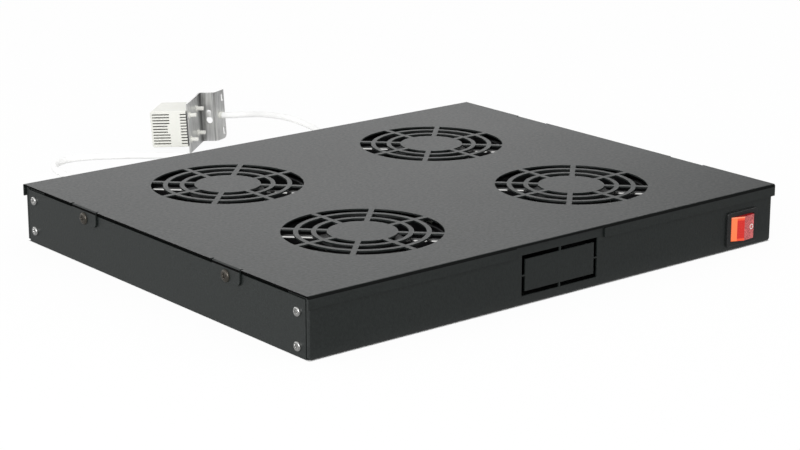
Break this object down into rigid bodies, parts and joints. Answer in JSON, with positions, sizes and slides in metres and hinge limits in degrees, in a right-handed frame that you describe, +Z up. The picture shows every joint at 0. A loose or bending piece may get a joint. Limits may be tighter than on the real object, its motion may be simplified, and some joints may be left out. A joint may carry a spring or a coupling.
{
  "type": "rack fan tray",
  "caption": "Flat one-unit black sheet-metal fan tray with round ring grilles, a red rocker switch and a thermostat on a white lead behind it.",
  "frame": {"origin": "centre of the tray's underside, on the surface that it stands on", "axes": "+X to the right along the front, +Y from the front to the rear, +Z up through the lid"},
  "size_m": [0.4436, 0.5514, 0.045],
  "materials": {
    "case_powder_coat": "fine satin powder coat",
    "zinc_screw": "bright zinc",
    "dark_screw": "black oxide",
    "motor_steel": "bare laminations and winding",
    "fan_frame_black": "semi-gloss paint on die-cast aluminium",
    "fan_blade_black": "matte",
    "black_plastic": "moulded, fine texture",
    "red_rocker": "clear red, lit from behind when on",
    "tinned_brass": "tinned",
    "white_plastic": "moulded, off-white",
    "grey_plastic": "moulded, light grey",
    "white_lead": "soft PVC sheath",
    "galvanised_steel": "galvanised"
  },
  "bodies": {
    "root": {"lid": "case_powder_coat", "base_tray": "case_powder_coat", "side_panel_left": "case_powder_coat", "side_panel_right": "case_powder_coat", "side_panel_screws": "zinc_screw", "lid_screws": "dark_screw", "fan_screws": "zinc_screw", "fan_motors": "motor_steel", "switch_housing": "black_plastic", "switch_terminals": "tinned_brass", "inlet_housing": "black_plastic", "inlet_pins": "tinned_brass", "terminal_strip": "white_plastic", "lead_bushing": "white_plastic", "thermostat_lead": "white_lead", "thermostat_bracket": "galvanised_steel", "thermostat_base": "white_plastic", "thermostat_cover": "white_plastic", "thermostat_switch": "white_plastic", "bracket_grommet": "white_plastic", "fan_frame_front_left": "fan_frame_black", "fan_frame_front_right": "fan_frame_black", "fan_frame_rear_left": "fan_frame_black", "fan_frame_rear_right": "fan_frame_black"},
    "impeller_front_left": {"fan_impeller_front_left": "fan_blade_black"},
    "impeller_front_right": {"fan_impeller_front_right": "fan_blade_black"},
    "impeller_rear_left": {"fan_impeller_rear_left": "fan_blade_black"},
    "impeller_rear_right": {"fan_impeller_rear_right": "fan_blade_black"},
    "rocker": {"switch_rocker": "red_rocker"},
    "dial": {"thermostat_dial": "grey_plastic"}
  },
  "joints": [
    {"name": "spin_front_left", "type": "hinge", "parent": "root", "child": "impeller_front_left", "pos_m": [-0.1, -0.082, 0.02], "axis": [0, 0, 1], "continuous": true},
    {"name": "spin_front_right", "type": "hinge", "parent": "root", "child": "impeller_front_right", "pos_m": [0.1, -0.082, 0.02], "axis": [0, 0, 1], "continuous": true},
    {"name": "spin_rear_left", "type": "hinge", "parent": "root", "child": "impeller_rear_left", "pos_m": [-0.1, 0.082, 0.02], "axis": [0, 0, 1], "continuous": true},
    {"name": "spin_rear_right", "type": "hinge", "parent": "root", "child": "impeller_rear_right", "pos_m": [0.1, 0.082, 0.02], "axis": [0, 0, 1], "continuous": true},
    {"name": "rocker_tilt", "type": "hinge", "parent": "root", "child": "rocker", "pos_m": [0.185, -0.171, 0.0166], "axis": [0, 0, 1], "range_deg": [0, 18]},
    {"name": "dial_turn", "type": "hinge", "parent": "root", "child": "dial", "pos_m": [0.01557, 0.35746, 0.02063], "axis": [-0.6623, 0.747, -0.0572], "range_deg": [-135, 135]}
  ]
}
